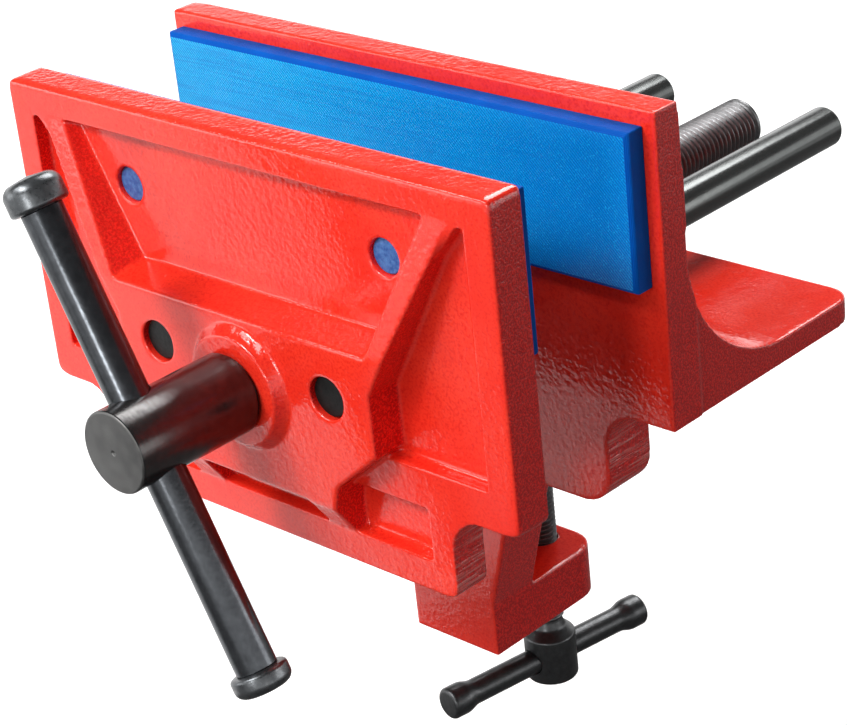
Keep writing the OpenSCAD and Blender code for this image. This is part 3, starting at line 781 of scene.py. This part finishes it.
HEAD_LENGTH = 38.9
HEAD_EDGE = 0.7
THREAD_DEPTH = 1.15
THREAD_PITCH = 2.0
THREAD_PLAIN = 1.0
END_CHAMFER = 0.6
THREAD_RUNOUT = 3.0
THREAD_SHARP = 35
CENTRE_MARK_R, CENTRE_MARK_DEEP = 0.9, 0.8
HEAD_BACK_EDGE = 0.5
TAIL_EDGE = 0.2
HOLE_SLACK = 0.2
HANDLE_HOLE_REACH = 20.0
FACE_DEEP, HEAD_PAST, LOOKS_FORWARD = 0.9, 0.2, -0.5

screw_low, screw_high = box_mm("lead_screw")
head_r = (screw_high[0] - screw_low[0]) / 2
screw_length = screw_high[1] - screw_low[1]
screw_origin = np.array([0.0, screw_low[1], (screw_low[2] + screw_high[2]) / 2])
handle_centre = centre_mm("handle_bar")
handle_axis = joint_axis["handle_slide"]
HANDLE_R = 5.6


def lead_screw_shape():
    thread_start = box_mm("screw_collar")[1][1] + THREAD_PLAIN - screw_low[1]
    thread_end = screw_length - END_CHAMFER
    front = softened([
        (0, CENTRE_MARK_DEEP, 0), (CENTRE_MARK_R, 0, 0), (head_r, 0, HEAD_EDGE),
        (head_r, HEAD_LENGTH, HEAD_BACK_EDGE), (SCREW_R, HEAD_LENGTH, 0), (SCREW_R, thread_start, 0),
    ])
    tail_r = SCREW_R - END_CHAMFER
    tail = softened([(SCREW_R, thread_end, 0), (tail_r, screw_length, TAIL_EDGE), (0, screw_length, 0)])
    turning = thread(SCREW_R, THREAD_DEPTH, THREAD_PITCH, thread_start, thread_end, THREAD_RUNOUT)
    points, faces = weld(*merged(revolved(front), turning, revolved(tail)))
    shape = placed(points, screw_origin, ALONG_Y), faces
    return cross_drilled(shape, HANDLE_R + HOLE_SLACK, HANDLE_HOLE_REACH, handle_centre, handle_axis)


spindle = add_piece(
    "lead_screw_spindle", "spindle", "black_steel", *lead_screw_shape(), ["lead_screw"], THREAD_SHARP)
give(spindle, BLACK_HEAD, HEAD_FACE, BLACK_THREAD)
for face in spindle.data.polygons:
    along = face.center.y / MM - screw_low[1]
    if along < FACE_DEEP and face.normal.y < LOOKS_FORWARD:
        face.material_index = 1
    elif along > HEAD_LENGTH + HEAD_PAST:
        face.material_index = 2


# Washer and collar on the lead screw

RING_SLACK = 0.05


def screw_ring(name, node, edge):
    low, high = box_mm(node)
    inner, outer = SCREW_R + RING_SLACK, (high[0] - low[0]) / 2
    length = high[1] - low[1]
    origin = (0, low[1], screw_origin[2])
    profile = softened([(inner, 0, 0), (outer, 0, edge), (outer, length, edge), (inner, length, 0)])
    turned_piece(name, node, "spindle", "black_steel", profile, origin, ALONG_Y, BLACK_HEAD, ring=True)


screw_ring("thrust_ring", "thrust_washer", edge=0.25)
screw_ring("stop_collar", "screw_collar", edge=0.6)


# Handle bar and its two end caps

CAP_PROUD = 2.25
CAP_DOME = 1.0
SPIGOT_R = 3.5
SPIGOT_L = 4.0
PRESS_GAP = 0.02
CAP_FOOT_OUT, CAP_FOOT_UP = 0.4, 0.3
CAP_STEPS = 7
BAR_EDGE = 0.3
HANDLE_HALF = 63.5


def handle_bar():
    whole = HANDLE_HALF + SPIGOT_L
    profile = softened([
        (0, whole, 0), (SPIGOT_R, whole, BAR_EDGE), (SPIGOT_R, HANDLE_HALF, 0),
        (HANDLE_R, HANDLE_HALF, BAR_EDGE), (HANDLE_R, -HANDLE_HALF, BAR_EDGE),
        (SPIGOT_R, -HANDLE_HALF, 0), (SPIGOT_R, -whole, BAR_EDGE), (0, -whole, 0),
    ])
    turned_piece(
        "handle_rod", "handle_bar", "handle", "black_steel", profile, handle_centre, handle_axis, BLACK_BAR)


def handle_cap(name, node, side, length, edge, end_edge):
    outer = HANDLE_R + CAP_PROUD
    bore = SPIGOT_R + PRESS_GAP
    profile = softened([
        (0, SPIGOT_L, 0), (bore, SPIGOT_L, 0), (bore, 0, 0), (HANDLE_R + CAP_FOOT_OUT, 0, 0),
        (outer, CAP_FOOT_UP, edge), (outer, length - CAP_DOME, end_edge), (0, length, 0),
    ], CAP_STEPS)
    origin = handle_centre + handle_axis * side * HANDLE_HALF
    turned_piece(name, node, "handle", "black_steel", profile, origin, handle_axis * side, BLACK_KNOB)


handle_bar()
handle_cap("handle_knob_upper", "handle_cap_upper", side=1, length=8.8, edge=2.6, end_edge=3.4)
handle_cap("handle_knob_lower", "handle_cap_lower", side=-1, length=6.5, edge=2.4, end_edge=2.6)


# Table clamp: screw with hub, foot and T-bar

CLAMP_PITCH = 1.5
CLAMP_DEPTH = 0.9
clamp_low, clamp_high = box_mm("clamp_screw")
hub_r = (clamp_high[0] - clamp_low[0]) / 2
tee_centre = centre_mm("tbar")
tee_axis = joint_axis["tbar_slide"]
TEE_R = 3.9
TEE_HALF = 28.0
TIP_LENGTH = 6.0
TIP_R = 3.5
GROOVE_R = 2.7
RING_SEAT_LOW, RING_SEAT_HIGH = 1.0, 2.4
HUB_LENGTH = 14.9
NECK_LENGTH = 5.0
NECK_IN = 0.7
NECK_FLARE_OUT, NECK_FLARE_DOWN, NECK_HOLLOW = 0.8, 2.4, 2.5
NECK_PLAIN = 0.6
HUB_LOW_EDGE, HUB_TOP_EDGE, NECK_EDGE, TIP_EDGE = 1.0, 1.2, 1.2, 0.5
CLAMP_LEAD_IN, CLAMP_CHAMFER = 1.5, 0.8
CLAMP_ROWS = 8
PROFILE_STEPS = 6
CLAMP_RUNOUT = 1.6
CLAMP_SEGMENTS = 64
TEE_HOLE_REACH = 14.0
TEE_SPIGOT_R, TEE_SPIGOT_L = 2.25, 5.0
TEE_END_PROUD, TEE_END_LENGTH, TEE_END_EDGE = 1.1, 10.0, 1.3
FLARE_STEPS = 8
FOOT_BORE_R, FOOT_BORE_DEEP = 3.6, 6.1
FOOT_GROOVE_R, FOOT_GROOVE_LOW, FOOT_GROOVE_HIGH = 5.52, 1.2, 2.4
FOOT_TAPER_IN, FOOT_TAPER_UP = 4.0, 5.0
FOOT_EDGE, FOOT_TAPER_EDGE = 0.8, 1.0


def clamp_screw_shape():
    total = clamp_high[2] - clamp_low[2]
    shoulder = total - TIP_LENGTH
    ring_low, ring_high = shoulder + RING_SEAT_LOW, shoulder + RING_SEAT_HIGH
    neck = HUB_LENGTH + NECK_LENGTH
    neck_r = CLAMP_R - NECK_IN
    thread_start, thread_end = neck + CLAMP_LEAD_IN, shoulder - CLAMP_CHAMFER
    hub_profile = softened([
        (0, 0, 0), (hub_r, 0, HUB_LOW_EDGE), (hub_r, HUB_LENGTH, HUB_TOP_EDGE),
        (neck_r + NECK_FLARE_OUT, neck - NECK_FLARE_DOWN, NECK_HOLLOW), (neck_r, neck, NECK_EDGE),
        (neck_r, neck + NECK_PLAIN, 0), (CLAMP_R, thread_start, 0),
    ], PROFILE_STEPS)
    tip_profile = softened([
        (CLAMP_R, thread_end, 0), (CLAMP_R - CLAMP_CHAMFER, shoulder, 0), (TIP_R, shoulder, 0),
        (TIP_R, ring_low, 0), (GROOVE_R, ring_low, 0), (GROOVE_R, ring_high, 0), (TIP_R, ring_high, 0),
        (TIP_R, total, TIP_EDGE), (0, total, 0),
    ])
    hub = revolved(hub_profile, segments=CLAMP_SEGMENTS)
    tip = revolved(tip_profile, segments=CLAMP_SEGMENTS)
    turning = thread(
        CLAMP_R, CLAMP_DEPTH, CLAMP_PITCH, thread_start, thread_end, CLAMP_RUNOUT, CLAMP_ROWS,
        CLAMP_SEGMENTS)
    points, faces = weld(*merged(hub, turning, tip))
    shape = points + np.array([0, 0, clamp_low[2]]), faces
    return cross_drilled(shape, TEE_R + HOLE_SLACK, TEE_HOLE_REACH, tee_centre, tee_axis, CLAMP_SEGMENTS)


clamp = add_piece(
    "clamp_spindle", "clamp", "black_steel", *clamp_screw_shape(), ["clamp_screw"], THREAD_SHARP)
give(clamp, BLACK_TEE, BLACK_THREAD)
for face in clamp.data.polygons:
    if face.center.z / MM > clamp_low[2] + HUB_LENGTH + NECK_LENGTH:
        face.material_index = 1


def tee_bar():
    whole = TEE_HALF + TEE_SPIGOT_L
    spigot = TEE_SPIGOT_R
    profile = softened([
        (0, whole, 0), (spigot, whole, BAR_EDGE), (spigot, TEE_HALF, 0), (TEE_R, TEE_HALF, 0),
        (TEE_R, -TEE_HALF, 0), (spigot, -TEE_HALF, 0), (spigot, -whole, BAR_EDGE), (0, -whole, 0),
    ])
    turned_piece("tee_rod", "tbar", "tee", "black_steel", profile, tee_centre, tee_axis, BLACK_TEE)


def tee_end(name, node, side):
    """A sleeve on the bar's spigot that swells in a smooth curve to its full width."""
    bore, outer = TEE_SPIGOT_R + PRESS_GAP, TEE_R + TEE_END_PROUD
    curve = []
    for i in range(FLARE_STEPS + 1):
        swell = (1 - math.cos(math.pi * i / FLARE_STEPS)) / 2
        curve.append((TEE_R + (outer - TEE_R) * swell, TEE_SPIGOT_L * i / FLARE_STEPS, 0))
    profile = softened([
        (0, TEE_SPIGOT_L, 0), (bore, TEE_SPIGOT_L, 0), (bore, 0, 0), *curve,
        (outer, TEE_END_LENGTH, TEE_END_EDGE), (0, TEE_END_LENGTH, 0),
    ], PROFILE_STEPS)
    origin = tee_centre + tee_axis * side * TEE_HALF
    turned_piece(name, node, "tee", "black_steel", profile, origin, tee_axis * side, BLACK_TEE)


tee_bar()
tee_end("tee_end_front", "tbar_end_front", side=-1)
tee_end("tee_end_back", "tbar_end_back", side=1)


def foot_piece():
    low, high = box_mm("clamp_foot")
    outer = (high[0] - low[0]) / 2
    height = high[2] - low[2]
    profile = softened([
        (0, FOOT_BORE_DEEP, 0), (FOOT_BORE_R, FOOT_BORE_DEEP, 0), (FOOT_BORE_R, FOOT_GROOVE_HIGH, 0),
        (FOOT_GROOVE_R, FOOT_GROOVE_HIGH, 0), (FOOT_GROOVE_R, FOOT_GROOVE_LOW, 0),
        (FOOT_BORE_R, FOOT_GROOVE_LOW, 0), (FOOT_BORE_R, 0, 0), (outer - FOOT_TAPER_IN, 0, FOOT_EDGE),
        (outer, FOOT_TAPER_UP, FOOT_TAPER_EDGE), (outer, height, FOOT_EDGE), (0, height, 0),
    ])
    origin = (0, 0, low[2])
    turned_piece("pressure_foot", "clamp_foot", "foot", "black_steel", profile, origin, ALONG_Z, BLACK_TEE)


foot_piece()


# Small solids that keep their own shape

give(nodes["lead_nut"], BRONZE)
for node in ("nut_key", "rod_pins", "collar_pin", "foot_ring"):
    give(nodes[node], STEEL)


# Camera at the photograph's viewing angle, placed in metres

AZIMUTH, ELEVATION, ROLL = math.radians(45.904), math.radians(25.526), math.radians(-6.284)
LENS_MM = 107.67
CAMERA_PLACE = Vector((0.455045, -0.481596, 0.300387))


def add_camera():
    back = Vector((
        math.sin(AZIMUTH) * math.cos(ELEVATION),
        -math.cos(AZIMUTH) * math.cos(ELEVATION),
        math.sin(ELEVATION),
    ))
    level_right = (-back).cross(Vector((0, 0, 1))).normalized()
    level_up = level_right.cross(-back)
    right = level_right * math.cos(ROLL) + level_up * math.sin(ROLL)
    up = level_up * math.cos(ROLL) - level_right * math.sin(ROLL)
    data = bpy.data.cameras.new("camera")
    data.lens = LENS_MM
    data.sensor_width = 36
    camera = bpy.data.objects.new("camera", data)
    bpy.context.scene.collection.objects.link(camera)
    turn = Matrix((right, up, back)).transposed().to_4x4()
    camera.matrix_world = Matrix.Translation(CAMERA_PLACE) @ turn
    bpy.context.scene.camera = camera


add_camera()


# Floor, lights and white surroundings, in metres and watts

FLOOR_Z = -0.180
FLOOR_HALF = 4.0
FLOOR_SEEN = 0.84
FLOOR_GLOW_NEAR, FLOOR_GLOW_FAR = 0.18, 1.0
FLOOR_DARK, FLOOR_LIGHT = 0.10, 0.55
FLOOR_IN_PAINT = 0.38
PATCH_SLANT, PATCH_FROM, PATCH_FULL = (-1, 1.5, 0), -0.38, -0.24
PATCH_LEFT_OF = -0.12
FAR_FROM, FAR_FULL = 0.85, 1.05
GLOW_FROM, GLOW_FULL = 0.5, 1.8
WORLD_LIGHT = 0.10
SKY_IN_METAL = 0.12
HORIZON_IN_METAL = 1.7
HORIZON_LOW, HORIZON_HIGH = 0.27, 0.30


def grey(level):
    return (level, level, level)


def floor_finish():
    """Pale floor whose light on the vise comes from its far part and from a patch on the left."""
    finish = Finish("pale_floor")
    rays = finish.node("ShaderNodeLightPath").outputs
    seen, in_paint = rays["Is Camera Ray"], rays["Is Glossy Ray"]
    slant = finish.node("ShaderNodeVectorMath", {0: finish.place, 1: PATCH_SLANT}, operation="DOT_PRODUCT")
    behind = finish.spread(slant.outputs["Value"], PATCH_FROM, PATCH_FULL)
    on_left = finish.math("LESS_THAN", finish.part(finish.place, "X"), PATCH_LEFT_OF)
    left_patch = finish.math("MULTIPLY", behind, on_left)
    reach = finish.node("ShaderNodeVectorMath", {0: finish.place}, operation="LENGTH").outputs["Value"]
    bright = finish.math("MAXIMUM", left_patch, finish.spread(reach, FAR_FROM, FAR_FULL))
    unseen = finish.mix(bright, grey(FLOOR_DARK), grey(FLOOR_LIGHT))
    finish.feed("Base Color", finish.mix(seen, unseen, grey(FLOOR_SEEN)))
    mirrored = finish.math("MULTIPLY", finish.math("MULTIPLY", in_paint, bright), FLOOR_IN_PAINT)
    glow = finish.spread(reach, GLOW_FROM, GLOW_FULL, FLOOR_GLOW_NEAR, FLOOR_GLOW_FAR)
    finish.feed("Emission Strength", finish.math("MULTIPLY_ADD", seen, glow, mirrored))
    finish.set(Roughness=0.9, Emission_Color=(1, 1, 1, 1))
    return finish.material


def add_floor():
    half = FLOOR_HALF
    corners = [(x, y, FLOOR_Z) for x, y in ((-half, -half), (half, -half), (half, half), (-half, half))]
    mesh = bpy.data.meshes.new("floor")
    mesh.from_pydata(corners, [], [[0, 1, 2, 3]])
    floor = bpy.data.objects.new("floor", mesh)
    bpy.context.scene.collection.objects.link(floor)
    give(floor, floor_finish())


def add_area_light(name, place, target, size, power):
    data = bpy.data.lights.new(name, "AREA")
    data.shape = "RECTANGLE"
    data.size, data.size_y = size
    data.energy = power
    light = bpy.data.objects.new(name, data)
    light.location = place
    light.rotation_euler = (Vector(target) - Vector(place)).to_track_quat("-Z", "Y").to_euler()
    bpy.context.scene.collection.objects.link(light)


def reflected_level(tree):
    """Strength of the surroundings in reflections: bright low down and dark above."""
    direction = tree.nodes.new("ShaderNodeTexCoord").outputs["Generated"]
    height = tree.nodes.new("ShaderNodeSeparateXYZ")
    tree.links.new(direction, height.inputs["Vector"])
    level = tree.nodes.new("ShaderNodeMapRange")
    tree.links.new(height.outputs["Z"], level.inputs["Value"])
    level.inputs["From Min"].default_value = HORIZON_LOW
    level.inputs["From Max"].default_value = HORIZON_HIGH
    level.inputs["To Min"].default_value = HORIZON_IN_METAL
    level.inputs["To Max"].default_value = SKY_IN_METAL
    return level.outputs["Result"]


def add_world():
    """White to the camera, weak as light, and with a level of its own in reflections."""
    world = bpy.data.worlds.new("surroundings")
    world.use_nodes = True
    bpy.context.scene.world = world
    tree = world.node_tree
    background = tree.nodes["Background"]
    background.inputs["Color"].default_value = (1, 1, 1, 1)
    rays = tree.nodes.new("ShaderNodeLightPath").outputs
    in_metal = tree.nodes.new("ShaderNodeMix")
    in_metal.inputs["A"].default_value = WORLD_LIGHT
    tree.links.new(reflected_level(tree), in_metal.inputs["B"])
    tree.links.new(rays["Is Glossy Ray"], in_metal.inputs["Factor"])
    seen = tree.nodes.new("ShaderNodeMath")
    seen.operation = "MAXIMUM"
    tree.links.new(rays["Is Camera Ray"], seen.inputs[0])
    tree.links.new(rays["Is Transmission Ray"], seen.inputs[1])
    level = tree.nodes.new("ShaderNodeMix")
    tree.links.new(in_metal.outputs["Result"], level.inputs["A"])
    level.inputs["B"].default_value = 1.0
    tree.links.new(seen.outputs[0], level.inputs["Factor"])
    tree.links.new(level.outputs["Result"], background.inputs["Strength"])


FRONT_AIM = (0, -0.05, 0.02)
BACK_AIM = (0, -0.02, 0.02)

add_floor()
add_area_light("front", (-0.40, -1.12, 1.13), FRONT_AIM, (1.6, 0.5), 25)
add_area_light("spot", (-0.24, -1.02, 1.02), FRONT_AIM, (0.24, 0.20), 6)
add_area_light("low", (0.32, -1.20, 0.20), FRONT_AIM, (0.2, 0.2), 3)
add_area_light("left", (-0.95, -0.95, 0.15), FRONT_AIM, (0.7, 0.5), 2.5)
add_area_light("back", (-0.24, 0.68, 0.95), BACK_AIM, (0.7, 0.7), 16)
add_area_light("right", (1.05, 0.75, 0.15), BACK_AIM, (0.6, 0.5), 2.6)
add_world()
bpy.context.scene.view_settings.view_transform = "Standard"
